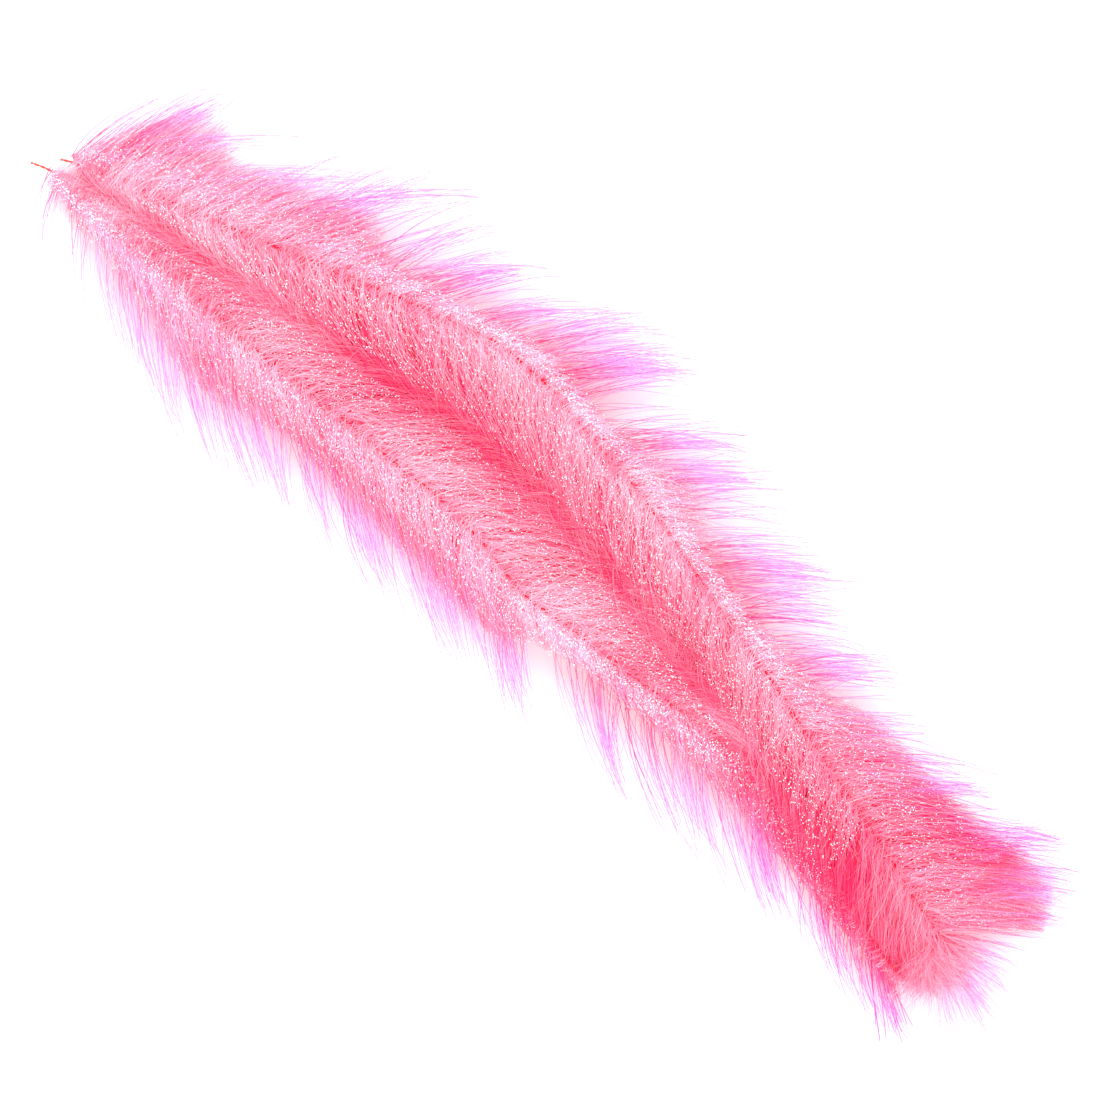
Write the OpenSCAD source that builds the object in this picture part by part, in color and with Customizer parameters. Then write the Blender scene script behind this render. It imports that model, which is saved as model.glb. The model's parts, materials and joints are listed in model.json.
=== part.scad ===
// Fluffy costume boa, folded in half and laid on a table.
//
// A thin two-ply core thread runs the whole length and grips thousands of fine filaments by
// their middles. The boa is folded once. Its two free ends, each with a knot and a short bare
// tail, lie together at -X, and the fold is at +X. Half a lies at -Y and half b at +Y. Each half
// is four links long, counted from the fold, and the links are joined by bends in the core.
// Every link has a core stretch, a dense pile mound round it and a thin fringe of long
// filaments outside that. The mounds rest on the table at z = 0.

/* [Core] */
// Diameter of the twisted core thread
core_d = 2.4; // [1.6:0.2:4]
// Diameter of the bare tail at each free end
tail_d = 1.6; // [1:0.2:3]
// Diameter of the knot that locks the plies at each free end
knot_d = 5; // [3:0.5:8]
// Height of the core above the table along the links
core_z = 40; // [25:1:50]

/* [Pile] */
// Height of the pile's ridge over the core
ridge_h = 50; // [40:1:60]
// Height of the valley where the two halves meet
valley_h = 26; // [12:1:40]
// Height of a mound's outer edge, where its fringe starts
edge_h = 10; // [6:1:16]
// Thickness of the fringe at its tips
tip_h = 3; // [2:0.5:6]
// Free space between the mounds of the two halves
halves_gap = 6; // [2:0.5:10]
// Number of facets from the ridge down to each side of a mound
side_steps = 5; // [3:1:8]

/* [Joints] */
// Furthest that a link bends up or down at a drape joint, in degrees
drape_range = 60; // [15:5:70]
// Furthest that a link bends outwards at a swing joint, in degrees
swing_range = 30; // [5:5:40]
// Free space on each side of a joint
joint_gap = 0.6; // [0.3:0.1:2]

/* [Hidden] */

// The boa is laid out with x = 0 at the tip of tail a, and then moved to its own centre.
// Joints along a half, from the fold to the free end, and the axis of the fold.
joint_x = [737, 555, 370, 185];
joint_kind = ["fold", "drape", "swing", "drape", "end"];
fold_axis = [737, -17];

// Core routes of the two halves, from the tail to the fold, and the loop between them.
route_a = [[20, 6, 10], [48, 6, 19], [80, 6, 29], [113, 5, 36], [149, 3, 40], [185, 2, 40],
           [226, 3, 40], [262, 4, 40], [298, 4, 40], [334, 5, 40], [370, 1, 40], [408, -7, 40],
           [444, -4, 40], [480, -3, 40], [516, 0, 40], [555, 3, 40], [586, 6, 40], [620, 0, 40],
           [655, -12, 40], [690, -24, 39], [715, -32, 38], [735.8, -36, 38]];
route_b = [[27, 19, 12], [48, 26, 19], [74, 34, 28], [105, 43, 35], [145, 55, 40], [185, 68, 40],
           [226, 81, 40], [262, 92, 40], [298, 101, 40], [334, 101, 40], [370, 95, 40],
           [411, 89, 40], [446, 81, 40], [482, 71, 40], [518, 61, 40], [555, 52, 40],
           [590, 42, 40], [625, 32, 40], [665, 21, 40], [700, 10, 39], [720, 3, 38], [735.8, -1, 38]];
route_fold = [[738.2, -36, 38], [747, -33, 37], [755, -25, 37], [757, -14, 37], [752, -5, 37],
              [745, -1.5, 37], [738.2, -1, 38]];
tail_a_route = [[0, 0, 5], [8, 2.8, 6.5], [16, 4.8, 8.5]];
tail_b_route = [[13, 13.5, 6], [18, 15.8, 8], [23, 17.8, 10.5]];

// Where the mounds of the two halves meet.
wall = [[0, 9], [185, 32], [370, 46], [555, 26], [737, -17]];
// Reach of each mound from its core to its outer edge, and of the fringe's tips in y.
reach_a = [[14, 8], [60, 25], [113, 40], [185, 48], [609, 47], [655, 32], [690, 28], [737, 30]];
reach_b = [[20, 9], [74, 35], [185, 48], [240, 52], [737, 52]];
tips_a = [[14, -14], [30, -41], [110, -62], [185, -72], [269, -70], [381, -61], [488, -67],
          [555, -72], [609, -65], [660, -60], [737, -73]];
tips_b = [[20, 60], [74, 118], [150, 152], [240, 180], [400, 164], [569, 140], [680, 112],
          [737, 96]];
// Share of the full height along each half, which is low at the free ends.
rise = [[14, 0.3], [60, 0.6], [113, 0.88], [160, 1]];

// Radii of the mound and the fringe round the fold, by angle from +X.
fold_reach = [[-90, 48], [0, 42], [90, 67]];
fold_tips = [[-90, 57], [-66, 62], [-20, 68], [0, 68], [15, 71], [37, 88], [60, 110], [72, 116],
             [90, 113]];
fold_angles = [for (i = [0:12]) -90 + 15 * i];
// Radius of the core's loop about the fold's axis, and of the free space at the axis itself.
loop_r = 18;
axis_r = 2;

core_sides = 8;
link_stations = 6;
pale_pink = [1, 0.68, 0.76];
hot_pink = [0.98, 0.40, 0.60];
lilac = [0.93, 0.62, 0.97];
crimson = [0.80, 0.10, 0.25];

function core_y(half, x) = lookup(x, [for (p = half == "a" ? route_a : route_b) [p[0], p[1]]]);
function outward(half) = half == "a" ? -1 : 1;
function reach(half, x) = lookup(x, half == "a" ? reach_a : reach_b);
function wall_y(half, x) = lookup(x, wall) + outward(half) * halves_gap / 2;
function tips_y(half, x) = lookup(x, half == "a" ? tips_a : tips_b);
function edge_y(half, x) = core_y(half, x) + outward(half) * reach(half, x);

// How far an end face stands back from its joint, at a distance out from the core and a height.
function stand_back(kind, out, z) =
    kind == "drape" ? joint_gap + tan(drape_range / 2) * abs(z - core_z) :
    kind == "swing" ? joint_gap + tan(swing_range / 2) * max(0, out) :
    kind == "fold" ? joint_gap : 0;

// A link's two ends: x of its end towards the tail and of its end towards the fold.
function link_x(half, n) = [n == 4 ? (half == "a" ? 14 : 20) : joint_x[n], joint_x[n - 1]];

// A share s of 0 is the link's end towards the tail, and 1 its end towards the fold.
function place(half, n, s, y, z) =
    let (ends = link_x(half, n), x = ends[0] + s * (ends[1] - ends[0]),
         out = outward(half) * (y - core_y(half, x)),
         back = s == 0 ? stand_back(joint_kind[n], out, z) :
                s == 1 ? -stand_back(joint_kind[n - 1], out, z) : 0)
    [x + back, y, z];

function at_share(half, n, s) =
    let (ends = link_x(half, n)) ends[0] + s * (ends[1] - ends[0]);

// Outline of a mound across its link: down its outer side, under it and up its inner side.
function mound_ring(half, n, s) =
    let (x = at_share(half, n, s), yc = core_y(half, x), up = lookup(x, rise),
         ye = edge_y(half, x), yw = wall_y(half, x),
         top = ridge_h * up, edge = edge_h * up, valley = valley_h * up,
         outer = [for (i = [0:side_steps]) let (t = i / side_steps)
                  [yc + (ye - yc) * t, edge + (top - edge) * cos(90 * t)]],
         inner = [for (i = [side_steps:-1:1]) let (t = i / side_steps)
                  [yc + (yw - yc) * t, valley + (top - valley) * cos(90 * t)]])
    [for (p = concat(outer, [[ye, 0], [yw, 0]], inner)) place(half, n, s, p[0], p[1])];

// Outline of a fringe across its link, from the mound's edge out to the tips.
function fringe_ring(half, n, s) =
    let (x = at_share(half, n, s), up = lookup(x, rise), ye = edge_y(half, x),
         yt = tips_y(half, x), edge = edge_h * up, tip = min(tip_h, edge))
    [for (p = [[ye, 0], [yt, 0], [yt, tip], [ye, edge]]) place(half, n, s, p[0], p[1])];

function round_axis(a, r, z) = [fold_axis[0] + r * cos(a), fold_axis[1] + r * sin(a), z];
function fold_mound_ring(a) =
    let (r = lookup(a, fold_reach),
         outer = [for (i = [0:side_steps]) let (t = i / side_steps)
                  [loop_r + (r - loop_r) * t, edge_h + (ridge_h - edge_h) * cos(90 * t)]])
    [for (p = concat(outer, [[r, 0], [axis_r, 0], [axis_r, valley_h]])) round_axis(a, p[0], p[1])];
function fold_fringe_ring(a) =
    let (r = lookup(a, fold_reach), t = lookup(a, fold_tips))
    [for (p = [[r, edge_h], [t, tip_h], [t, 0], [r, 0]]) round_axis(a, p[0], p[1])];

// Everything the fringes reach in plan, and the middle of that.
outline = concat([for (half = ["a", "b"]) for (n = [1:4]) for (i = [0:link_stations - 1])
                  each fringe_ring(half, n, i / (link_stations - 1))],
                 [for (a = fold_angles) each fold_fringe_ring(a)]);
far_x = joint_gap + max([for (p = outline) p[0]]);
near_x = min([for (p = tube_ring(tail_a_route, 0, tail_d)) p[0]]);
near_y = min([for (p = outline) p[1]]);
far_y = max([for (p = outline) p[1]]);
centre = [(near_x + far_x) / 2, (near_y + far_y) / 2, 0];

function middle(ring) = [for (i = [0:2]) ([for (p = ring) p[i]] * [for (p = ring) 1]) / len(ring)];

// A closed solid through rings of points, whose ends close on a point each.
module loft(rings, first, last, turned = false) {
    m = len(rings[0]);
    n = len(rings);
    points = concat([for (ring = rings) each ring], [first, last]);
    sides = [for (i = [0:n - 2]) for (j = [0:m - 1])
             let (a = i * m + j, b = i * m + (j + 1) % m, c = a + m, d = b + m)
             each [[a, b, d], [a, d, c]]];
    ends = [for (j = [0:m - 1]) let (k = (j + 1) % m, e = (n - 1) * m)
            each [[n * m, k, j], [n * m + 1, e + j, e + k]]];
    faces = concat(sides, ends);
    polyhedron(points, [for (f = faces) turned ? [f[2], f[1], f[0]] : f], convexity = 4);
}

// A round tube along a route. Its rings stand square to the route.
function tube_ring(route, i, d) =
    let (along = route[min(i + 1, len(route) - 1)] - route[max(i - 1, 0)],
         side = [-along[1], along[0], 0] / norm([along[0], along[1]]),
         up = cross(along, side) / norm(along))
    [for (k = [0:core_sides - 1]) let (w = 360 * k / core_sides)
     route[i] + d / 2 * (cos(w) * side + sin(w) * up)];

module tube(route, d) {
    last = len(route) - 1;
    loft([for (i = [0:last]) tube_ring(route, i, d)], route[0], route[last], turned = true);
}

// The points of a route between two joints, with an end beside each joint.
function cut_route(route, x0, x1) =
    let (at = function(x) [x, lookup(x, [for (p = route) [p[0], p[1]]]),
                           lookup(x, [for (p = route) [p[0], p[2]]])])
    concat([at(x0)], [for (p = route) if (p[0] > x0 + 4 && p[0] < x1 - 4) p], [at(x1)]);

// At a joint the core stops short by its own radius, so that it can bend there.
module core(half, n) {
    route = half == "a" ? route_a : route_b;
    short = core_d / 2 + joint_gap;
    x0 = n == 4 ? route[0][0] : joint_x[n] + short;
    x1 = n == 1 ? route[len(route) - 1][0] : joint_x[n - 1] - short;
    color(crimson) translate(-centre) tube(cut_route(route, x0, x1), core_d);
}

module core_fold() {
    color(crimson) translate(-centre) tube(route_fold, core_d);
}

module knot(half) {
    route = half == "a" ? route_a : route_b;
    tail = half == "a" ? tail_a_route : tail_b_route;
    color(crimson) translate((route[0] + tail[2]) / 2 - centre) sphere(d = knot_d, $fn = 24);
}

module tail(half) {
    color(crimson) translate(-centre) tube(half == "a" ? tail_a_route : tail_b_route, tail_d);
}

module pile(half, n) {
    rings = [for (i = [0:link_stations - 1]) mound_ring(half, n, i / (link_stations - 1))];
    ends = [for (s = [0, 1]) let (x = at_share(half, n, s), up = lookup(x, rise))
            place(half, n, s, core_y(half, x), core_z * up)];
    color(pale_pink) translate(-centre) loft(rings, ends[0], ends[1], turned = half == "b");
}

module fringe(half, n) {
    rings = [for (i = [0:link_stations - 1]) fringe_ring(half, n, i / (link_stations - 1))];
    color(lilac) translate(-centre)
        loft(rings, middle(rings[0]), middle(rings[link_stations - 1]), turned = half == "a");
}

module pile_fold() {
    rings = [for (a = fold_angles) fold_mound_ring(a)];
    color(hot_pink) translate([joint_gap, 0, 0] - centre)
        loft(rings, middle(rings[0]), middle(rings[len(rings) - 1]));
}

module fringe_fold() {
    rings = [for (a = fold_angles) fold_fringe_ring(a)];
    color(lilac) translate([joint_gap, 0, 0] - centre)
        loft(rings, middle(rings[0]), middle(rings[len(rings) - 1]));
}

for (half = ["a", "b"]) {
    for (n = [1:4]) {
        core(half, n);
        pile(half, n);
        fringe(half, n);
    }
    knot(half);
    tail(half);
}
core_fold();
pile_fold();
fringe_fold();
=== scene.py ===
import json
import math

import bpy
import numpy as np
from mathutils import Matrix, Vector


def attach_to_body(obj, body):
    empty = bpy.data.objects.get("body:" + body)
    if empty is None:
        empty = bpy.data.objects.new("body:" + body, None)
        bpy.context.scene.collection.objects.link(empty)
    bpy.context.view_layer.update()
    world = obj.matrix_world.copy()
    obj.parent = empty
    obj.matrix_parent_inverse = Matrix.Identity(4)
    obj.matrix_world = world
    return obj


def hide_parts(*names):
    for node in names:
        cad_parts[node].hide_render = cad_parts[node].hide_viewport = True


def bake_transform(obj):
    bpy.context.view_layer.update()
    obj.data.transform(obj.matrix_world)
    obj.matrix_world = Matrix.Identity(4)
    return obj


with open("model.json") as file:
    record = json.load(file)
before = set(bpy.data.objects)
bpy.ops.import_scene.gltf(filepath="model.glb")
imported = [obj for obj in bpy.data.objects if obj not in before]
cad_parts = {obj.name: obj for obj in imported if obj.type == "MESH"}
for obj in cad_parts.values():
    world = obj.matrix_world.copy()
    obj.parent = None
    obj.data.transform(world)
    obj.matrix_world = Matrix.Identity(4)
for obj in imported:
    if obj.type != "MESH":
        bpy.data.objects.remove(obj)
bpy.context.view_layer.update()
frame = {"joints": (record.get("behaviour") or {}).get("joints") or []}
rng = np.random.default_rng(20)

# ---------------------------------------------------------------- layout
# Plan points are in metres from the tip of tail a, as in the CAD source. The fold's axis, which
# both share, moves them into the row frame.
AXIS = np.array([0.737, -0.017, 0.0])
pivot = next(j for j in frame["joints"] if j["name"] == "fold")["pos_m"]
ORIGIN = np.array([pivot[0], pivot[1], 0.0]) - AXIS

ROUTE = {
    "a": [(0.020, 0.006, 0.010), (0.048, 0.006, 0.019), (0.080, 0.006, 0.029), (0.113, 0.005, 0.036),
          (0.149, 0.003, 0.040), (0.185, 0.002, 0.040), (0.226, 0.003, 0.040), (0.262, 0.004, 0.040),
          (0.298, 0.004, 0.040), (0.334, 0.005, 0.040), (0.370, 0.001, 0.040), (0.408, -0.007, 0.040),
          (0.444, -0.004, 0.040), (0.480, -0.003, 0.040), (0.516, 0.000, 0.040), (0.555, 0.003, 0.040),
          (0.586, 0.006, 0.040), (0.620, 0.000, 0.040), (0.655, -0.012, 0.040), (0.690, -0.024, 0.039),
          (0.715, -0.032, 0.038), (0.736, -0.036, 0.038)],
    "b": [(0.027, 0.019, 0.012), (0.048, 0.026, 0.019), (0.074, 0.034, 0.028), (0.105, 0.043, 0.035),
          (0.145, 0.055, 0.040), (0.185, 0.068, 0.040), (0.226, 0.081, 0.040), (0.262, 0.092, 0.040),
          (0.298, 0.101, 0.040), (0.334, 0.101, 0.040), (0.370, 0.095, 0.040), (0.411, 0.089, 0.040),
          (0.446, 0.081, 0.040), (0.482, 0.071, 0.040), (0.518, 0.061, 0.040), (0.555, 0.052, 0.040),
          (0.590, 0.042, 0.040), (0.625, 0.032, 0.040), (0.665, 0.021, 0.040), (0.700, 0.010, 0.039),
          (0.720, 0.003, 0.038), (0.736, -0.001, 0.038)],
}
TAIL = {
    "a": [(0.000, 0.000, 0.005), (0.008, 0.0028, 0.0065), (0.016, 0.0048, 0.0085)],
    "b": [(0.013, 0.0135, 0.006), (0.018, 0.0158, 0.008), (0.023, 0.0178, 0.0105)],
}
LOOP = [(0.747, -0.033, 0.037), (0.755, -0.025, 0.037), (0.757, -0.014, 0.037),
        (0.752, -0.005, 0.037), (0.745, -0.0015, 0.037)]
FOLD_X = 0.736  # where the core of each half ends and the loop at the fold begins
JOINT_X = {3: 0.185, 2: 0.370, 1: 0.555}  # where link n+1 meets link n
CUTS = [0.277, 0.462, 0.646]  # the middles of links 3, 2 and 1, where neighbouring pieces part
TAIL_LENGTH = 0.018  # how much of each free end is bare
OUT = {"a": -1.0, "b": 1.0}  # the outer side of each half, in y
POINT_SPACING = 0.00075  # between the points of a modelled thread
STRAND_MAP = "OFBake"  # the UV layer with a strand's tint, its own tone with painted shade added, in U and its run from root to tip in V
TEXEL = 1 / 64  # the width in U that one strand takes in the strand map
TURN = 6.28  # a full turn, for random phases


def table(*pairs):
    """A function of x that runs straight from one (x, value) pair to the next."""
    xs, ys = zip(*pairs)
    return lambda x: np.interp(x, xs, ys)


core_y = {h: table(*[(p[0], p[1]) for p in ROUTE[h]]) for h in "ab"}
core_z = {h: table(*[(p[0], p[2]) for p in ROUTE[h]]) for h in "ab"}
# The line between the two halves, about midway between their cores.
wall = table((0, 0.009), (0.185, 0.032), (0.370, 0.046), (0.555, 0.026), (0.737, -0.017))
# How far the mound of each half goes out from its core.
reach = {
    "a": table((0.014, 0.008), (0.06, 0.025), (0.113, 0.04), (0.185, 0.048), (0.609, 0.047),
               (0.655, 0.032), (0.69, 0.028), (0.737, 0.03)),
    "b": table((0.02, 0.009), (0.074, 0.035), (0.185, 0.048), (0.24, 0.052), (0.737, 0.052)),
}
# How far out the dense pile goes, in y, and how far the longest filaments go.
edge = {
    "a": table((0.0, -0.003), (0.04, -0.008), (0.1, -0.021), (0.13, -0.026), (0.16, -0.045),
               (0.19, -0.042), (0.24, -0.029), (0.3, -0.036), (0.4, -0.046), (0.43, -0.028),
               (0.48, -0.018), (0.54, -0.021), (0.61, -0.027), (0.66, -0.035), (0.7, -0.041),
               (0.75, -0.042)),
    "b": table((0.02, 0.03), (0.035, 0.05), (0.055, 0.1), (0.082, 0.108), (0.1, 0.084), (0.14, 0.106),
               (0.19, 0.118), (0.22, 0.1), (0.27, 0.108), (0.33, 0.119), (0.38, 0.108), (0.43, 0.116),
               (0.47, 0.086), (0.52, 0.075), (0.58, 0.069), (0.64, 0.079), (0.7, 0.071), (0.76, 0.078),
               (0.79, 0.066), (0.81, 0.03)),
}
tips = {
    "a": table((0.0, -0.028), (0.04, -0.040), (0.07, -0.050), (0.11, -0.066), (0.17, -0.084), (0.2, -0.082),
               (0.24, -0.074), (0.31, -0.070), (0.37, -0.072), (0.41, -0.080), (0.48, -0.080), (0.55, -0.074),
               (0.59, -0.066), (0.64, -0.068), (0.68, -0.062), (0.73, -0.074), (0.8, -0.08)),
    "b": table((0.0, 0.035), (0.03, 0.09), (0.065, 0.132), (0.1, 0.130), (0.15, 0.148), (0.21, 0.168),
               (0.26, 0.156), (0.31, 0.160), (0.36, 0.178), (0.41, 0.184), (0.46, 0.162), (0.52, 0.140),
               (0.57, 0.118), (0.64, 0.112), (0.7, 0.102), (0.76, 0.108), (0.8, 0.092), (0.83, 0.06)),
}
LAST = {"a": -0.088, "b": 0.190}  # no filament goes further out than this
# Height of the fluff's surface where the halves meet.
valley = table((0.1, 0.042), (0.2, 0.036), (0.3, 0.027), (0.5, 0.026), (0.62, 0.041))
# How much of its full height the fluff has, from the free ends inwards.
rise = table((0.0, 0.18), (0.014, 0.3), (0.06, 0.6), (0.113, 0.88), (0.16, 1.0))
# The line along which the filaments of the two halves meet. Past x = 0.6 half b covers half a.
seam = table((0.0, 0.010), (0.06, 0.016), (0.14, 0.026), (0.216, 0.036), (0.325, 0.050),
             (0.431, 0.040), (0.529, 0.020), (0.60, 0.002), (0.633, -0.012), (0.67, -0.045), (0.72, -0.085))


def ease(t):
    t = np.clip(t, 0, 1)
    return t * t * (3 - 2 * t)


LIP = 0.010  # height of the surface at the outer edge of a mound
DOME = 0.036  # how much higher it is over the core
DIP = 0.0035  # depth of the parting over the core
DIP_WIDTH = 0.006


def height(x, y):
    """Height of the fluff's surface, in metres, before any filament stands off it."""
    top = None
    for h in "ab":
        out, yc = OUT[h], core_y[h](x)
        up = rise(x)
        d = (y - yc) * out
        outer = np.clip(d / reach[h](x), 0, 1)
        inner = np.clip(-d / np.maximum(np.abs(yc - wall(x)), 0.004), 0, 1)
        z = np.where(d > 0, LIP + DOME * np.cos(outer * math.pi / 2),
                     valley(x) + (LIP + DOME - valley(x)) * np.cos(inner * math.pi / 2)) * up
        # half b covers half a's parting near the fold
        parting = DIP * (1 - ease((x - 0.58) / 0.05)) if h == "a" else DIP
        z = z - parting * up * np.exp(-((d / DIP_WIDTH) ** 2))
        past = np.clip((np.abs(d) - reach[h](x)) / 0.05, 0, 1)
        z = np.where(d > 0, z * (1 - 0.75 * past), z)
        top = z if top is None else np.maximum(top, z)
    # round the fold the surface falls away from the middle of the loop in every direction
    r = np.hypot(x - AXIS[0], y - AXIS[1])
    fold = 0.006 + 0.040 * np.cos(np.clip((r - 0.015) / 0.06, 0, 1) * math.pi / 2)
    return np.where(x > AXIS[0], fold, top)


# ---------------------------------------------------------------- materials
def linear(r, g, b):
    return tuple(((c + 0.055) / 1.055) ** 2.4 if c > 0.04045 else c / 12.92 for c in (r, g, b)) + (1.0,)


def shader(name, roughness, specular):
    m = bpy.data.materials.new(name)
    m.use_nodes = True
    nt = m.node_tree
    p = nt.nodes["Principled BSDF"]
    p.inputs["Roughness"].default_value = roughness
    p.inputs["Specular IOR Level"].default_value = specular
    return m, nt, p


def ramp(nt, source, stops, socket):
    """A colour ramp driven by one channel of the strand map."""
    node = nt.nodes.new("ShaderNodeValToRGB")
    while len(node.color_ramp.elements) < len(stops):
        node.color_ramp.elements.new(0.5)
    for e, (at, colour) in zip(node.color_ramp.elements, stops):
        e.position, e.color = at, colour
    nt.links.new(source.outputs[socket], node.inputs["Fac"])
    return node


def let_through(nt, p, colour, share):
    """Some of the light goes on through the filament."""
    t = nt.nodes.new("ShaderNodeBsdfTranslucent")
    mix = nt.nodes.new("ShaderNodeMixShader")
    mix.inputs["Fac"].default_value = share
    nt.links.new(colour, t.inputs["Color"])
    nt.links.new(p.outputs["BSDF"], mix.inputs[1])
    nt.links.new(t.outputs["BSDF"], mix.inputs[2])
    nt.links.new(mix.outputs["Shader"], nt.nodes["Material Output"].inputs["Surface"])


def strand_map(nt):
    """The strand map: X is the strand's tint, its own tone with painted shade added, and Y runs from its root
    to its tip.
    """
    uv = nt.nodes.new("ShaderNodeUVMap")
    uv.uv_map = STRAND_MAP
    split = nt.nodes.new("ShaderNodeSeparateXYZ")
    nt.links.new(uv.outputs["UV"], split.inputs["Vector"])
    return split


def mixed(nt, fac, a, b):
    node = nt.nodes.new("ShaderNodeMix")
    node.data_type = "RGBA"
    nt.links.new(fac, node.inputs["Factor"])
    nt.links.new(a, node.inputs[6])
    nt.links.new(b, node.inputs[7])
    return node


THROUGH = 0.45  # how much of the light goes on through a filament
# Colours from pale to deep: TINTS near the core and in the pile, LILACS at the tips of guard filaments.
TINTS = [(0.0, linear(1.0, 0.90, 0.95)), (0.22, linear(1.0, 0.76, 0.86)), (0.45, linear(1.0, 0.62, 0.75)),
         (0.68, linear(1.0, 0.46, 0.64)), (0.86, linear(1.0, 0.30, 0.58)), (1.0, linear(1.0, 0.13, 0.48))]
LILACS = [(0.0, linear(1.0, 0.90, 1.0)), (0.4, linear(0.98, 0.74, 0.97)), (0.75, linear(0.97, 0.57, 0.90)),
          (1.0, linear(0.98, 0.40, 0.76))]


def pile_material():
    m, nt, p = shader("pile_filament", 0.5, 0.4)
    uv = strand_map(nt)
    tint = ramp(nt, uv, TINTS, "X")
    nt.links.new(tint.outputs["Color"], p.inputs["Base Color"])
    let_through(nt, p, tint.outputs["Color"], THROUGH)
    return m


def guard_material():
    m, nt, p = shader("guard_filament", 0.4, 0.5)
    uv = strand_map(nt)
    tint, tip = ramp(nt, uv, TINTS, "X"), ramp(nt, uv, LILACS, "X")
    along = ramp(nt, uv, [(0.22, (0, 0, 0, 1)), (0.70, (1, 1, 1, 1))], "Y")
    mix = mixed(nt, along.outputs["Color"], tint.outputs["Color"], tip.outputs["Color"])
    nt.links.new(mix.outputs[2], p.inputs["Base Color"])
    let_through(nt, p, mix.outputs[2], THROUGH)
    return m


def painted_glint_material():
    # painted glint: a near-white, glossy flake that stands in for a sparkle of light
    m, _, p = shader("glint", 0.15, 1.0)
    p.inputs["Base Color"].default_value = (1.0, 0.97, 1.0, 1.0)
    return m


def thread_material():
    m, nt, p = shader("core_thread", 0.6, 0.3)
    uv = strand_map(nt)
    along = ramp(nt, uv, [(0.0, linear(0.93, 0.40, 0.30)), (0.10, linear(0.90, 0.34, 0.30)),
                          (0.22, linear(1.0, 0.10, 0.30)), (1.0, linear(1.0, 0.10, 0.30))], "Y")
    nt.links.new(along.outputs["Color"], p.inputs["Base Color"])
    return m


PILE, GUARD, PAINTED_GLINT, THREAD = pile_material(), guard_material(), painted_glint_material(), thread_material()


# ---------------------------------------------------------------- meshes
def mesh_object(name, verts, quads, uvs, materials, index=None):
    """verts are layout points; quads are rows of four vertex numbers; uvs has a row for every corner."""
    me = bpy.data.meshes.new(name)
    me.vertices.add(len(verts))
    me.vertices.foreach_set("co", (verts + ORIGIN).astype(np.float32).ravel())
    me.loops.add(quads.size)
    me.loops.foreach_set("vertex_index", quads.astype(np.int32).ravel())
    me.polygons.add(len(quads))
    me.polygons.foreach_set("loop_start", np.arange(0, quads.size, 4, dtype=np.int32))
    me.update(calc_edges=True)
    layer = me.uv_layers.new(name=STRAND_MAP)
    layer.data.foreach_set("uv", uvs.astype(np.float32).ravel())
    for m in materials:
        me.materials.append(m)
    if index is not None:
        me.polygons.foreach_set("material_index", index.astype(np.int32))
    me.validate()
    obj = bpy.data.objects.new(name, me)
    bpy.context.scene.collection.objects.link(obj)
    return obj


def ribbon_arrays(paths, width, tint, taper=0.7, spin=1.2):
    """Flat tapering ribbons along paths of shape (n, k, 3), face up give or take a turn of their own."""
    n, k = paths.shape[:2]
    along = np.gradient(paths, axis=1)
    along /= np.maximum(np.linalg.norm(along, axis=2, keepdims=True), 1e-9)
    side = np.cross(along, np.array([0.0, 0.0, 1.0]))
    side /= np.maximum(np.linalg.norm(side, axis=2, keepdims=True), 1e-6)
    up = np.cross(side, along)
    t = np.linspace(0, 1, k)
    roll = (rng.normal(0, 0.5, n)[:, None] + rng.normal(0, spin, n)[:, None] * (t - 0.5))[:, :, None]
    across = side * np.cos(roll) + up * np.sin(roll)
    half = (0.5 * np.asarray(width)[:, None] * (1 - taper * t))[:, :, None] * across
    verts = np.stack([paths - half, paths + half], axis=2).reshape(-1, 3)
    base = (np.arange(n)[:, None] * k + np.arange(k - 1)) * 2
    quads = np.stack([base, base + 1, base + 3, base + 2], axis=2).reshape(-1, 4)
    u = np.clip(tint, 0, 1)[:, None] * (1 - TEXEL) + np.zeros(k - 1)
    v0, v1 = t[:-1] + np.zeros((n, 1)), t[1:] + np.zeros((n, 1))
    uvs = np.stack([u, v0, u + TEXEL, v0, u + TEXEL, v1, u, v1], axis=2).reshape(-1, 4, 2)
    return verts, quads, uvs


def painted_glint_arrays(points, along, size):
    """Painted glints: small bright flakes that lie along their filaments and stand in for sparkles of light
    off them.
    """
    side = np.cross(along, np.array([0.0, 0.0, 1.0]))
    side /= np.maximum(np.linalg.norm(side, axis=1, keepdims=True), 1e-6)
    a, b = along * size[:, None] * 0.5, side * size[:, None] * 0.4
    p = points + np.array([0, 0, 0.003])
    verts = np.stack([p - a - b, p - a + b, p + a + b, p + a - b], axis=1).reshape(-1, 3)
    quads = np.arange(len(verts)).reshape(-1, 4)
    corners = np.array([[0.0, 0.0], [TEXEL, 0.0], [TEXEL, 0.02], [0.0, 0.02]])
    uvs = np.tile(corners, (len(quads), 1, 1))
    return verts, quads, uvs


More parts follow.
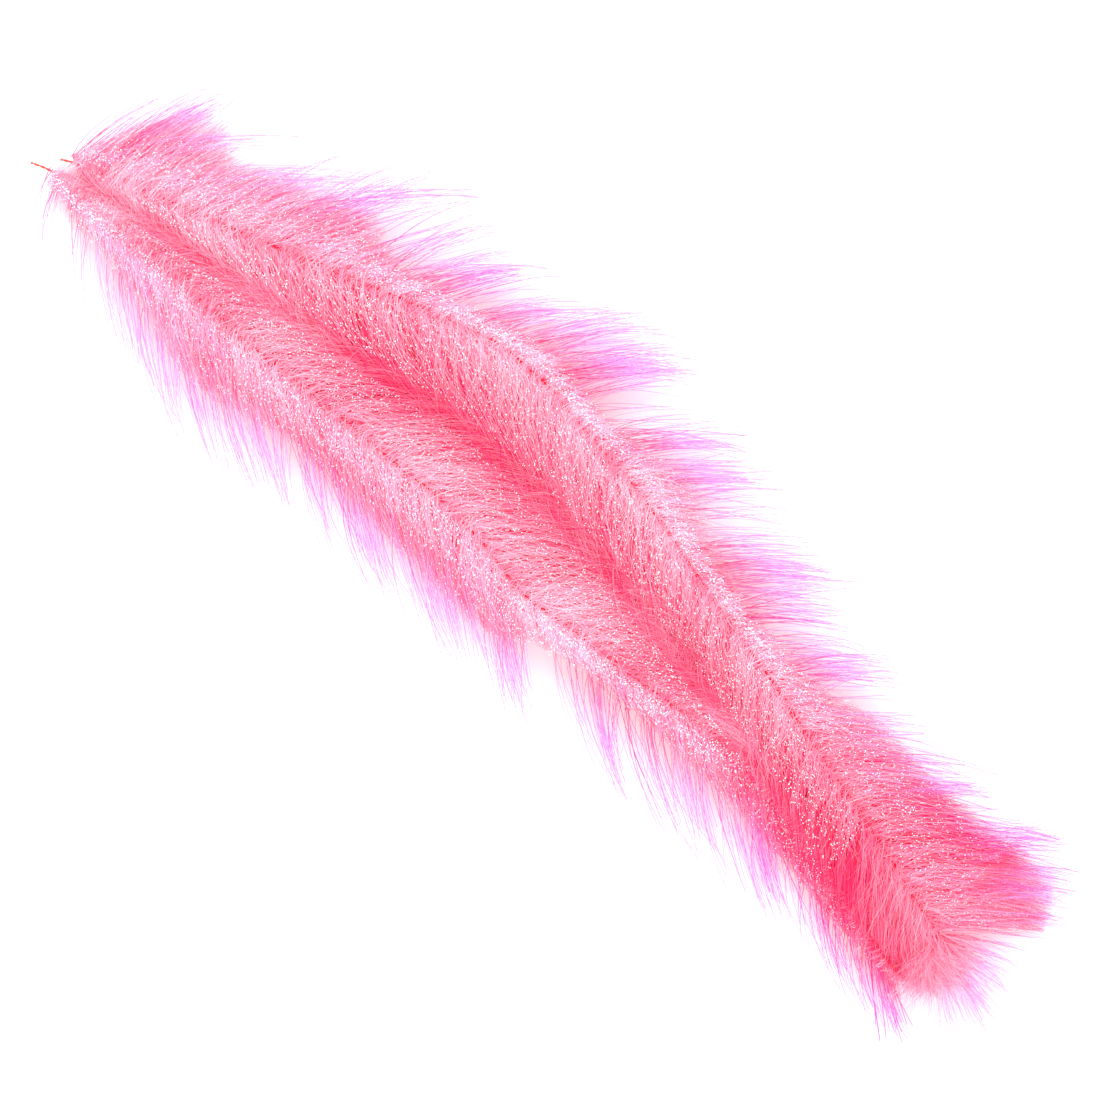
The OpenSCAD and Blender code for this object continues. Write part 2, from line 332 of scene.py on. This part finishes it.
# ---------------------------------------------------------------- the growth of the filaments
def heading(half, side, x):
    """Angles from the core, at the root and at the tip, of filaments on one side of a half."""
    if side == OUT[half]:
        if half == "a":
            return (table((0.0, 1.6), (0.025, 1.15), (0.07, 1.05), (0.15, 1.0))(x),
                    table((0.0, 1.5), (0.025, 0.90), (0.07, 0.62), (0.15, 0.55), (0.5, 0.50))(x))
        return (table((0.0, 1.36), (0.06, 1.26), (0.1, 1.12), (0.4, 0.98), (0.6, 1.02), (0.68, 1.15),
                      (0.74, 0.95))(x),
                table((0.0, 1.26), (0.06, 1.14), (0.1, 1.06), (0.2, 0.96), (0.35, 0.72), (0.6, 0.54),
                      (0.72, 0.48))(x))
    if half == "a":
        return table((0.0, 0.9), (0.1, 1.0), (0.5, 0.85))(x), table((0.0, 0.5), (0.2, 0.75), (0.5, 0.58))(x)
    return (table((0.0, 1.0), (0.3, 0.9), (0.7, 1.0))(x),
            table((0.0, 0.45), (0.25, 0.45), (0.4, 0.68), (0.5, 0.80), (0.74, 0.88))(x))


def shrink(limit, last, x, y, share):
    """Scales about the roots that bring the tips no further out than their share of the way to the limit."""
    x0, y0 = x[:, 0], y[:, 0]
    k = np.ones(len(x))
    for _ in range(4):
        far = np.minimum(np.abs(limit(x0 + (x[:, -1] - x0) * k) - y0) * share, np.abs(last - y0))
        k = np.clip(far / np.maximum(np.abs(y[:, -1] - y0), 1e-4), 0.1, 1)
    return k[:, None]


def grow(half, side, roots, length, layer, segments, wobble, crimp, stand=0.0, spread=0.16,
         limit=None, share=None):
    """Paths of filaments that leave the core on one side. layer is 1 on the surface, 0 on the table."""
    n = len(roots)
    t = np.linspace(0, 1, segments + 1)
    y0, z0 = core_y[half](roots), core_z[half](roots)
    slope = (core_y[half](roots + 0.01) - core_y[half](roots - 0.01)) / 0.02
    h0, h1 = heading(half, side, roots)
    h0 = h0 + rng.normal(0, spread, n)
    h1 = h1 + rng.normal(0, spread, n)
    bend = 1 - (1 - t) ** 1.6
    angle = side * (h0[:, None] + (h1 - h0)[:, None] * bend) + (np.arctan(slope) * 0.5)[:, None] * (1 - t)
    phase, rate = rng.uniform(0, TURN, n)[:, None], rng.uniform(3, 7, n)[:, None]
    angle = angle + wobble * np.sin(phase + rate * t)
    angle = angle + rng.normal(0, crimp, (n, segments + 1))
    step = (length / segments)[:, None]
    x = roots[:, None] + np.concatenate([np.zeros((n, 1)), np.cumsum(np.cos(angle[:, :-1]) * step, 1)], 1)
    y = y0[:, None] + np.concatenate([np.zeros((n, 1)), np.cumsum(np.sin(angle[:, :-1]) * step, 1)], 1)
    if side == OUT[half]:
        if share is None:
            share = rng.uniform(0.4, 1.0, n)
        k = shrink((limit or edge)[half], LAST[half], x, y, share)
        x, y = x[:, :1] + (x - x[:, :1]) * k, y[:, :1] + (y - y[:, :1]) * k
    else:  # turned along the seam by the other half's filaments
        if half == "b":  # near the fold they lie over half a, and go no further than its own pile
            k = shrink(edge["a"], LAST["a"], x, y, rng.uniform(0.7, 1.08, n))
            k = np.where(roots[:, None] > 0.5, k, 1.0)
            x, y = x[:, :1] + (x - x[:, :1]) * k, y[:, :1] + (y - y[:, :1]) * k
        room = np.abs(seam(roots) - y0)[:, None]
        line = seam(x) + side * (0.25 + rng.normal(0, 0.3, n)[:, None]) * room
        if half == "a":  # half b lies over this side of half a near the fold
            line = np.maximum(line, core_y["a"](x) + 0.006 + 0.028 * ease((x - 0.58) / 0.08))
        over = side * (y - line) / 0.008
        y = y - side * 0.008 * np.log1p(np.exp(np.clip(over, -30, 30)))
    under = 0.4 * ease((x - 0.555) / 0.07) if half == "a" else 0.0
    target = height(x, y) * layer[:, None] * (1 - under) + stand * t[None, :] ** 1.5 * layer[:, None]
    off = ease(t / np.where(layer > 0.7, 0.22, 0.35)[:, None])
    z = z0[:, None] * (1 - off) + target * off
    z = np.maximum(z, 0.0012 + 0.0015 * rng.random(n)[:, None])
    return np.stack([x, y, z], axis=2)


def gather(paths, spacing, pull, power=1.6):
    """Draws the tips of neighbouring filaments together into pointed locks."""
    cell = np.floor((paths[:, 0, 0] + rng.normal(0, 0.25 * spacing, len(paths))) / spacing).astype(int)
    _, cell = np.unique(cell, return_inverse=True)
    count = np.bincount(cell)[:, None, None]
    mean = np.zeros((len(count),) + paths.shape[1:])
    np.add.at(mean, cell, paths)
    mean /= count
    jitter = rng.normal(0, spacing * 0.2, mean.shape[0])[:, None]
    mean[:, :, 0] += jitter * np.linspace(0, 1, paths.shape[1])
    t = np.linspace(0, 1, paths.shape[1])
    k = (pull * t**power)[None, :, None]
    moved = paths + (mean[cell] - paths) * k
    moved[:, :, 2] = paths[:, :, 2] + (mean[cell][:, :, 2] - paths[:, :, 2]) * k[:, :, 0] * 0.3
    return moved


def noise(x, seed, scale):
    """Smooth one-dimensional noise from -1 to 1."""
    r = np.random.default_rng(seed)
    values = r.uniform(-1, 1, 400)
    s = np.asarray(x) / scale + 200
    i = np.floor(s).astype(int)
    f = ease(s - i)
    return values[i % 400] * (1 - f) + values[(i + 1) % 400] * f


PAINTED_SHADE_SPOTS = [  # places where painted shade makes the pink deepest, mostly in the valley where the halves meet: x, y, half length along the flow, half width, strength
    (0.110, 0.018, 0.060, 0.012, 0.45), (0.245, 0.040, 0.045, 0.011, 0.75),
    (0.330, 0.051, 0.055, 0.010, 0.95), (0.430, 0.042, 0.050, 0.011, 0.75),
    (0.520, 0.018, 0.050, 0.014, 0.45), (0.595, 0.002, 0.050, 0.014, 0.65),
    (0.650, -0.010, 0.045, 0.016, 0.90), (0.700, -0.026, 0.040, 0.014, 0.85),
    (0.705, 0.054, 0.045, 0.010, 0.75), (0.690, 0.005, 0.090, 0.060, 0.32),
]


def painted_shade_depth(x, y):
    """How much painted shade deepens the pink at a place, from 0 to 1."""
    value = np.zeros_like(x)
    for hx, hy, lx, ly, s in PAINTED_SHADE_SPOTS:
        value = np.maximum(value, s * np.exp(-(((x - hx) / lx) ** 2) - ((y - hy) / ly) ** 2))
    return value


def tint_and_painted_shade_of(paths, base, scatter, layer=1.0):
    n, k = paths.shape[:2]
    at = paths[:, int(k * 0.55)]
    root = paths[:, 0, 0]
    # the strand's own tone varies at random and along the core; on top of that, painted shade deepens the
    # pink in deep places and on the lower layers
    return (base + painted_shade_depth(at[:, 0], at[:, 1]) * 0.75 + 0.12 * noise(root, 7, 0.005)
            + 0.08 * noise(root, 8, 0.03) + 0.4 * (1 - layer) + rng.normal(0, scatter, n))


SHARE = 1.0
parts = {}


def collect(half, paths, kind, arrays, material):
    """Files ribbons under the piece they belong to, by where the middle of each filament is. material is
    0 for pile, 1 for guard filaments with lilac tips and 2 for glints."""
    mid = paths[:, :, 0].mean(axis=1)
    zone = 4 - np.searchsorted(CUTS, mid)
    verts, quads, uvs = arrays
    per_v, per_q = len(verts) // len(paths), len(quads) // len(paths)
    for z in (1, 2, 3, 4):
        chosen = np.flatnonzero(zone == z)
        if not len(chosen):
            continue
        v = verts.reshape(len(paths), per_v, 3)[chosen].reshape(-1, 3)
        q = quads.reshape(len(paths), per_q, 4)
        q = (q - q[:, :1, :1])[chosen] + (np.arange(len(chosen)) * per_v)[:, None, None]
        u = uvs.reshape(len(paths), per_q, 4, 2)[chosen].reshape(-1, 4, 2)
        parts.setdefault((kind, half, z), []).append((v, q.reshape(-1, 4), u, material))


def roots_along(count, x0, x1, seed, unevenness=0.3):
    """Root positions along a half, thinned a little here and there."""
    x = rng.uniform(x0, x1, int(count * 1.5))
    keep = rng.random(len(x)) < 0.67 * (1 + unevenness * noise(x, seed, 0.022))
    return np.sort(x[keep])


# The longest pile filaments on each side of each half, and the longest guard filaments.
PILE_LONG = {
    ("a", -1.0): table((0.0, 0.030), (0.05, 0.050), (0.12, 0.080), (0.66, 0.085), (0.70, 0.050),
                       (0.74, 0.020)),
    ("a", 1.0): table((0.0, 0.025), (0.1, 0.070), (0.25, 0.110), (0.5, 0.110), (0.66, 0.080), (0.74, 0.055)),
    ("b", -1.0): table((0.0, 0.025), (0.1, 0.075), (0.2, 0.130), (0.45, 0.125), (0.6, 0.115), (0.67, 0.095),
                       (0.70, 0.076), (0.74, 0.044)),
    ("b", 1.0): table((0.0, 0.050), (0.03, 0.105), (0.06, 0.105), (0.12, 0.090), (0.3, 0.080), (0.5, 0.080),
                      (0.58, 0.100), (0.64, 0.125), (0.69, 0.128), (0.74, 0.070)),
}
GUARD_LONG = {
    ("a", -1.0): table((0.0, 0.045), (0.05, 0.085), (0.12, 0.125), (0.66, 0.135), (0.70, 0.090),
                       (0.74, 0.050)),
    ("a", 1.0): table((0.0, 0.030), (0.1, 0.060), (0.3, 0.090), (0.74, 0.060)),
    ("b", -1.0): table((0.0, 0.030), (0.1, 0.060), (0.3, 0.090), (0.5, 0.095), (0.6, 0.100), (0.67, 0.085),
                       (0.74, 0.050)),
    ("b", 1.0): table((0.0, 0.080), (0.03, 0.130), (0.1, 0.135), (0.3, 0.150), (0.6, 0.145), (0.69, 0.138),
                      (0.74, 0.080)),
}
GUARDS = {("a", -1.0): 560, ("a", 1.0): 1000, ("b", -1.0): 1300, ("b", 1.0): 860}
# How thickly wisps lie across the parting. They hide the core near the free ends.
ACROSS = {
    "a": table((0.13, 1.0), (0.17, 0.40), (0.56, 0.35), (0.60, 1.0)),
    "b": table((0.07, 1.0), (0.1, 0.45), (0.74, 0.3)),
}


def fluff(half, side, seed):
    out = side == OUT[half]
    x0 = 0.015 if half == "a" else 0.021
    x1 = FOLD_X
    # dense pile
    r = roots_along(SHARE * (9500 if out else 10500), x0, x1, seed)
    r = r[rng.random(len(r)) < 0.35 + 0.65 * ease(r / 0.06)]
    room = np.abs(edge[half](r + 0.01) - core_y[half](r)) if out else np.ones(len(r))
    kept = rng.random(len(r)) < np.clip(room / 0.030, 0.30, 1)  # thin where the dense part is narrow
    r, room = r[kept], np.maximum(room[kept], 0.004)
    size = rng.random(len(r))
    length = PILE_LONG[half, side](r) * (1.0 if out else 0.38 + 0.62 * size**0.8)
    layer = 1 - rng.random(len(r)) ** 1.4 * 0.9
    p = grow(half, side, r, length, layer, 7, 0.06, 0.02, stand=0.002,
             share=(0.25 + 0.92 * size) * np.maximum(1, 0.018 / room))
    p = gather(p, 0.006, 0.45)
    arrays = ribbon_arrays(p, rng.uniform(0.0004, 0.00065, len(r)), tint_and_painted_shade_of(p, 0.29, 0.19, layer))
    collect(half, p, "pile", arrays, 0)
    # pale crimped underfur that works its way to the surface
    r = roots_along(SHARE * 1500, x0, x1, seed + 1)
    length = rng.uniform(0.014, 0.060, len(r)) * (0.5 + 0.5 * ease(r / 0.14))
    layer = rng.uniform(0.96, 1.05, len(r))
    p = grow(half, side, r, length, layer, 9, 0.3, 0.18, stand=0.003, spread=0.35)
    arrays = ribbon_arrays(p, rng.uniform(0.0003, 0.00045, len(r)), tint_and_painted_shade_of(p, 0.10, 0.08))
    collect(half, p, "pile", arrays, 0)
    # wisps that lean over the parting
    r = rng.uniform(x0, x1, int(SHARE * 2000))
    r = r[rng.random(len(r)) < ACROSS[half](r)]
    length = rng.uniform(0.018, 0.060, len(r)) * (0.5 + 0.5 * ease(r / 0.14))
    p = grow(half, side, r, length, rng.uniform(0.97, 1.04, len(r)), 8, 0.15, 0.07, stand=0.001, spread=0.3)
    back = 1 - ease(np.linspace(0, 1, 9) * 2.5)
    p[:, :, 1] -= side * rng.uniform(0.001, 0.009, len(r))[:, None] * back
    p[:, :, 2] += rng.uniform(0.002, 0.005, len(r))[:, None] * back
    arrays = ribbon_arrays(p, rng.uniform(0.0003, 0.0005, len(r)), tint_and_painted_shade_of(p, 0.22, 0.15))
    collect(half, p, "pile", arrays, 1 if out else 0)
    # long guard filaments
    r = roots_along(SHARE * GUARDS[half, side], x0 - 0.003, x1, seed + 2, 1.1)
    length = GUARD_LONG[half, side](r) * (1.0 if out else rng.uniform(0.5, 1.0, len(r)))
    layer = rng.uniform(0.15, 1.0, len(r)) ** 0.7
    size = rng.uniform(0.35, 1.12, len(r)) * (1 + 0.15 * noise(r, seed + 5, 0.012))
    size = size * np.where(rng.random(len(r)) < 0.15, 1.3, 1.0)  # strays
    p = grow(half, side, r, length, layer, 9, 0.06, 0.012, stand=0.004, spread=0.19, limit=tips, share=size)
    p = gather(p, 0.014, 0.55, 1.5)
    arrays = ribbon_arrays(p, rng.uniform(0.0004, 0.00065, len(r)), tint_and_painted_shade_of(p, 0.55, 0.18), taper=0.45)
    collect(half, p, "fringe", arrays, 1 if out else 0)
    # painted glints: bright flakes that stand in for sparkles of light off the pile
    n = int(SHARE * 5000)
    r = rng.uniform(x0, x1, n)
    length = rng.uniform(0.03, 0.10, n) * (0.45 + 0.55 * ease(r / 0.14))
    p = grow(half, side, r, length, np.ones(n), 7, 0.15, 0.1)
    pick = rng.integers(1, 8, n)
    at, before = p[np.arange(n), pick], p[np.arange(n), pick - 1]
    # on the inner sides there are none down in the seam and none near the fold
    clear = out | ((np.abs(at[:, 1] - seam(at[:, 0])) > 0.006) & (at[:, 0] < 0.66))
    p, at, before = p[clear], at[clear], before[clear]
    d = at - before
    d /= np.maximum(np.linalg.norm(d, axis=1, keepdims=True), 1e-9)
    collect(half, p, "pile", painted_glint_arrays(at, d, rng.uniform(0.00035, 0.0007, len(p))), 2)


# Where the most pointed locks of long filaments end, on the outer side of each half: x, y, count.
LOCKS = {
    "a": [(0.187, -0.074, 26), (0.269, -0.065, 22), (0.346, -0.064, 20), (0.403, -0.060, 22),
          (0.465, -0.073, 26), (0.545, -0.067, 24), (0.600, -0.054, 18), (0.656, -0.054, 20)],
    "b": [(0.077, 0.121, 26), (0.125, 0.120, 20), (0.180, 0.133, 30), (0.239, 0.170, 34), (0.300, 0.160, 24),
          (0.366, 0.180, 30), (0.407, 0.168, 60), (0.455, 0.150, 26), (0.496, 0.152, 30), (0.571, 0.136, 32),
          (0.622, 0.108, 30), (0.713, 0.090, 34), (0.773, 0.095, 44), (0.792, 0.070, 44)],
}


def pointed_lock(half, end_x, end_y, count):
    """Long filaments from a stretch of core that draw together towards one point."""
    count = max(3, int(SHARE * count))
    run = abs(end_y - core_y[half](end_x - 0.06)) * rng.uniform(0.75, 1.35, count)
    x0 = np.minimum(end_x - run - rng.normal(0, 0.004, count), 0.728)
    x0 = np.where(x0 < ROUTE[half][0][0], ROUTE[half][0][0] + rng.uniform(0, 0.03, count), x0)
    y0, z0 = core_y[half](x0)[:, None], core_z[half](x0)[:, None]
    dx = (end_x - x0 + rng.normal(0, 0.005, count))[:, None]
    dy = end_y + rng.normal(0, 0.003, count)[:, None] - y0
    t = np.linspace(0, 1, 11) * rng.uniform(0.62, 1.02, count)[:, None]
    x = x0[:, None] + dx * (0.72 * t + 0.28 * t**2)
    x = x + 0.0015 * np.sin(5 * t + rng.uniform(0, TURN, count)[:, None])
    y = y0 + dy * (1.25 * t - 0.25 * t**2)
    off = ease(t / 0.25)
    z = z0 * (1 - off) + height(x, y) * rng.uniform(0.5, 1.05, count)[:, None] * off
    p = np.stack([x, y, np.maximum(z, 0.0015)], 2)
    width = rng.uniform(0.0004, 0.00065, count)
    collect(half, p, "fringe", ribbon_arrays(p, width, tint_and_painted_shade_of(p, 0.5, 0.15), taper=0.45), 1)


def stray_lock(count):
    """A few long filaments that lie together, clear of the rest, beside the fold."""
    x = rng.uniform(0.690, 0.724, count)
    root = np.stack([x, core_y["a"](x), core_z["a"](x)], 1)[:, None]
    end = [rng.uniform(0.748, 0.770, count), rng.uniform(-0.080, -0.056, count),
           rng.uniform(0.003, 0.012, count)]
    t = np.linspace(0, 1, 10)[None, :, None]
    p = root + (np.stack(end, 1)[:, None] - root) * t
    p[:, :, 0] += 0.003 * np.sin(3 * t[:, :, 0] + rng.uniform(0, TURN, count)[:, None])
    width = rng.uniform(0.0007, 0.0010, count)
    collect("a", p, "fringe", ribbon_arrays(p, width, tint_and_painted_shade_of(p, 0.8, 0.1), taper=0.3), 1)


for k, (half, side) in enumerate([("a", -1.0), ("a", 1.0), ("b", -1.0), ("b", 1.0)]):
    fluff(half, side, 10 * (k + 1))
for half in "ab":
    for end_x, end_y, count in LOCKS[half]:
        pointed_lock(half, end_x, end_y, count)
stray_lock(13)


def join(name, chunks):
    verts, quads, uvs, index, base = [], [], [], [], 0
    for v, q, u, material in chunks:
        verts.append(v)
        quads.append(q + base)
        uvs.append(u)
        index.append(np.full(len(q), material))
        base += len(v)
    return mesh_object(name, np.concatenate(verts), np.concatenate(quads), np.concatenate(uvs),
                       [PILE, GUARD, PAINTED_GLINT], np.concatenate(index))


def attach(obj, half, z):
    """A piece at the fold rides on the link there; any other piece stays fixed where it is."""
    if z == 1:
        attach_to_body(obj, f"link_{half}1")
        return
    x = JOINT_X[z - 1]
    y = float(core_y[half](x))
    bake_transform(obj)


for (kind, half, z), chunks in sorted(parts.items()):
    obj = join(f"{kind}_{half}{z}_filaments", chunks)
    attach(obj, half, z)
    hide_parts(f"{kind}_{half}{z}")

# ---------------------------------------------------------------- filaments round the fold
LOOP_RADII = (0.018, 0.017)  # of the loop of core at the fold, in x and y


def bend_at_fold(obj):
    """Bakes the piece's placing into its mesh; it does not bend round the fold."""
    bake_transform(obj)


def fan(count, segments, aims, first, lengths, layer0, wobble, crimp, stand, inner=1.0):
    """Filaments that leave the loop of core at the fold. aims are their directions from +X, in degrees.
    first is where on the loop they start: 0 is half a's end of it and 1 is half b's. inner is how near
    its middle they may start: 0 is the middle and 1 is the loop itself."""
    count = int(SHARE * count)
    s = rng.uniform(first, 1, count)
    a = np.radians(-85 + 170 * s)
    r = rng.uniform(inner, 1, count)
    root = np.stack([AXIS[0] + LOOP_RADII[0] * r * np.cos(a), AXIS[1] + LOOP_RADII[1] * r * np.sin(a)], 1)
    t = np.linspace(0, 1, segments + 1)
    angle = np.radians(rng.uniform(*aims, count))[:, None]
    angle = angle + wobble * np.sin(rng.uniform(0, TURN, count)[:, None] + 4 * t)
    angle = angle + rng.normal(0, crimp, angle.shape)
    step = (rng.uniform(*lengths, count) / segments)[:, None]
    x = root[:, :1] + np.concatenate([np.zeros((count, 1)), np.cumsum(np.cos(angle[:, :-1]) * step, 1)], 1)
    y = root[:, 1:] + np.concatenate([np.zeros((count, 1)), np.cumsum(np.sin(angle[:, :-1]) * step, 1)], 1)
    layer = 1 - rng.random(count) * (1 - layer0)
    off = ease(t / 0.3)
    leaving = (0.038 + 0.006 * (1 - r))[:, None]
    lying = height(np.maximum(x, 0.7375), y) * layer[:, None] + stand * t
    z = leaving * (1 - off) + lying * off
    return np.stack([x, y, np.maximum(z, 0.002)], 2)


def fold_piece(name, kind, sets):
    chunks = []
    for p, width, tint, material in sets:
        v, q, u = ribbon_arrays(p, width, tint)
        chunks.append((v, q, u, material))
    obj = join(name, chunks)
    bend_at_fold(obj)
    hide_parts(f"{kind}_fold")


under = fan(1700, 7, (-95, 5), 0.0, (0.005, 0.016), 0.2, 0.12, 0.05, 0.002, 0.0)
fuzz = fan(750, 9, (-110, 30), 0.0, (0.012, 0.028), 0.95, 0.2, 0.12, 0.004, 0.0)
fold_piece("pile_fold_filaments", "pile",
           [(under, rng.uniform(0.0004, 0.00065, len(under)), tint_and_painted_shade_of(under, 0.48, 0.22), 0),
            (fuzz, rng.uniform(0.0003, 0.00045, len(fuzz)), tint_and_painted_shade_of(fuzz, 0.26, 0.2), 0)])
long_ones = gather(fan(190, 9, (-66, 38), 0.5, (0.030, 0.078), 0.2, 0.08, 0.03, 0.004), 0.006, 0.35)
fold_piece("fringe_fold_filaments", "fringe",
           [(long_ones, rng.uniform(0.00045, 0.0007, len(long_ones)), tint_and_painted_shade_of(long_ones, 0.35, 0.14), 1)])


# ---------------------------------------------------------------- core thread
def smooth(route):
    """A curve through the route's points, with evenly spaced points."""
    p = np.array(route, float)
    q = np.concatenate([[2 * p[0] - p[1]], p, [2 * p[-1] - p[-2]]])
    out = []
    for i in range(1, len(q) - 2):
        for s in np.linspace(0, 1, 24, endpoint=False):
            out.append(0.5 * (2 * q[i] + (q[i + 1] - q[i - 1]) * s
                              + (2 * q[i - 1] - 5 * q[i] + 4 * q[i + 1] - q[i + 2]) * s * s
                              + (3 * q[i] - q[i - 1] - 3 * q[i + 1] + q[i + 2]) * s**3))
    out = np.array(out + [p[-1]])
    d = np.concatenate([[0], np.cumsum(np.linalg.norm(np.diff(out, axis=0), axis=1))])
    at = np.linspace(0, d[-1], int(d[-1] / POINT_SPACING))
    return np.stack([np.interp(at, d, out[:, i]) for i in range(3)], 1)


def tube_arrays(line, radius, u0, v):
    """A six-sided tube along a line, with flat ends. u0 is where it starts in U, and v is V along it."""
    n, sides = len(line), 6
    along = np.gradient(line, axis=0)
    along /= np.linalg.norm(along, axis=1, keepdims=True)
    side = np.cross(along, np.array([0.0, 0.0, 1.0]))
    side /= np.maximum(np.linalg.norm(side, axis=1, keepdims=True), 1e-6)
    up = np.cross(side, along)
    w = np.linspace(0, 2 * math.pi, sides, endpoint=False)
    r = np.broadcast_to(np.asarray(radius), (n,))[:, None, None]
    ring = side[:, None] * np.cos(w)[:, None] + up[:, None] * np.sin(w)[:, None]
    verts = (line[:, None] + r * ring).reshape(-1, 3)
    i, j = np.meshgrid(np.arange(n - 1), np.arange(sides), indexing="ij")
    k = (j + 1) % sides
    quads = np.stack([i * sides + j, i * sides + k, (i + 1) * sides + k, (i + 1) * sides + j], 2)
    quads = quads.reshape(-1, 4)
    ends = [[0, 1, 2, 3], [0, 3, 4, 5]]
    caps = np.array([[*c] for c in ends] + [[(n - 1) * sides + s for s in c[::-1]] for c in ends])
    u = u0 + 0.4 * (j / sides)
    uvs = np.stack([u, v[i], u + 0.4 / sides, v[i], u + 0.4 / sides, v[i + 1], u, v[i + 1]], 2)
    uvs = uvs.reshape(-1, 4, 2)
    capuv = np.stack([np.full((4, 2), (u0, v[0]))] * len(ends) + [np.full((4, 2), (u0, v[-1]))] * len(ends))
    return verts, np.concatenate([quads, caps]), np.concatenate([uvs, capuv])


PITCH = 0.0085  # length along the core over which the plies make one turn
PLY_RADIUS = 0.00058
PLY_OFFSET = 0.00060  # from the core's middle to a ply's


def twisted(name, line, tail):
    """Two plies twisted together along the line. tail is the bare length at its start, where they are
    thinner."""
    d = np.concatenate([[0], np.cumsum(np.linalg.norm(np.diff(line, axis=0), axis=1))])
    along = np.gradient(line, axis=0)
    along /= np.linalg.norm(along, axis=1, keepdims=True)
    side = np.cross(along, np.array([0.0, 0.0, 1.0]))
    side /= np.linalg.norm(side, axis=1, keepdims=True)
    up = np.cross(side, along)
    thick = np.where(d < tail, 0.68, 1.0)
    verts, quads, uvs, base = [], [], [], 0
    v = np.clip(d / 0.1, 0, 1) if tail else np.ones(len(d))
    for ply in (0, 1):
        w = (d / PITCH * 2 * math.pi + ply * math.pi)[:, None]
        path = line + (side * np.cos(w) + up * np.sin(w)) * (PLY_OFFSET * thick)[:, None]
        a, q, u = tube_arrays(path, PLY_RADIUS * thick, 0.05 + 0.5 * ply, v)
        verts.append(a)
        quads.append(q + base)
        uvs.append(u)
        base += len(a)
    return mesh_object(name, np.concatenate(verts), np.concatenate(quads), np.concatenate(uvs), [THREAD])


def between(half, x0, x1):
    """The core's route from x0 to x1, with a point at each of the two."""

    def at(x):
        return x, float(core_y[half](x)), float(core_z[half](x))

    return [at(x0)] + [p for p in ROUTE[half] if x0 + 0.006 < p[0] < x1 - 0.006] + [at(x1)]


for half in "ab":
    for z, (x0, x1) in {4: (None, CUTS[0]), 3: (CUTS[0], CUTS[1]), 2: (CUTS[1], CUTS[2])}.items():
        route = TAIL[half] + between(half, ROUTE[half][0][0], x1) if x0 is None else between(half, x0, x1)
        line = smooth(route)
        obj = twisted(f"core_{half}{z}_thread", line, TAIL_LENGTH if z == 4 else 0.0)
        attach(obj, half, z)
        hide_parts(f"core_{half}{z}", *([f"tail_{half}"] if z == 4 else []))
line = smooth(between("a", CUTS[2], FOLD_X) + LOOP + between("b", CUTS[2], FOLD_X)[::-1])
obj = twisted("core_fold_thread", line, 0.0)
bend_at_fold(obj)
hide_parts("core_a1", "core_b1", "core_fold")


def knot(half):
    """An overhand knot where the core meets its tail."""
    at = (np.array(ROUTE[half][0]) + np.array(TAIL[half][2])) / 2
    s = np.linspace(0, 2 * math.pi, 72)
    loop = np.stack([np.sin(s) + 2 * np.sin(2 * s), np.cos(s) - 2 * np.cos(2 * s), -np.sin(3 * s)], 1)
    line = at + loop * np.array([0.00062, 0.00062, 0.0010])
    verts, quads, uvs = tube_arrays(line, 0.00062, 0.05, np.full(len(line), 0.12))
    obj = mesh_object(f"knot_{half}_thread", verts, quads, uvs, [THREAD])
    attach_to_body(obj, f"link_{half}4")
    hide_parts(f"knot_{half}")


knot("a")
knot("b")

# ---------------------------------------------------------------- stage, lights, camera
scene = bpy.context.scene
scene.view_settings.view_transform = "Standard"
scene.view_settings.look = "None"
scene.view_settings.exposure = 0.0

bpy.ops.mesh.primitive_plane_add(size=8, location=(0, 0, 0))
floor = bpy.context.object
floor.name = "floor"
floor_paint, _, paint = shader("floor", 0.9, 0.0)
paint.inputs["Base Color"].default_value = (0.95, 0.95, 0.95, 1)
floor.data.materials.append(floor_paint)

world = bpy.data.worlds.new("world")
scene.world = world
world.use_nodes = True
world.node_tree.nodes["Background"].inputs["Color"].default_value = (1, 1, 1, 1)
world.node_tree.nodes["Background"].inputs["Strength"].default_value = 1.15


def area(name, place, size, power):
    light = bpy.data.lights.new(name, "AREA")
    light.size, light.energy = size, power
    o = bpy.data.objects.new(name, light)
    scene.collection.objects.link(o)
    o.location = place
    o.rotation_euler = (Vector((0, 0, 0)) - Vector(place)).to_track_quat("-Z", "Y").to_euler()


area("key", (-0.9, 1.1, 1.9), 1.2, 30)
area("fill", (1.2, -0.9, 1.6), 1.4, 14)
scene.cycles.diffuse_bounces = 8

ROLL = math.radians(40.2)  # the picture's right is 40.2 degrees from +X
MIDDLE = ORIGIN + np.array([0.4122, 0.0237, 0.0])
AIM_HEIGHT = 0.03  # a little over half the boa's height
DISTANCE = 2.2  # from the camera down to that height
PICTURE_WIDTH = 0.691  # in metres, at that height
SENSOR = 36.0  # width in millimetres
cam = bpy.data.objects.new("camera", bpy.data.cameras.new("camera"))
scene.collection.objects.link(cam)
cam.data.sensor_width = SENSOR
cam.data.lens = SENSOR * DISTANCE / PICTURE_WIDTH
cam.location = (MIDDLE[0], MIDDLE[1], AIM_HEIGHT + DISTANCE)
cam.rotation_euler = (0, 0, ROLL)
cam.data.dof.use_dof = False
scene.camera = cam
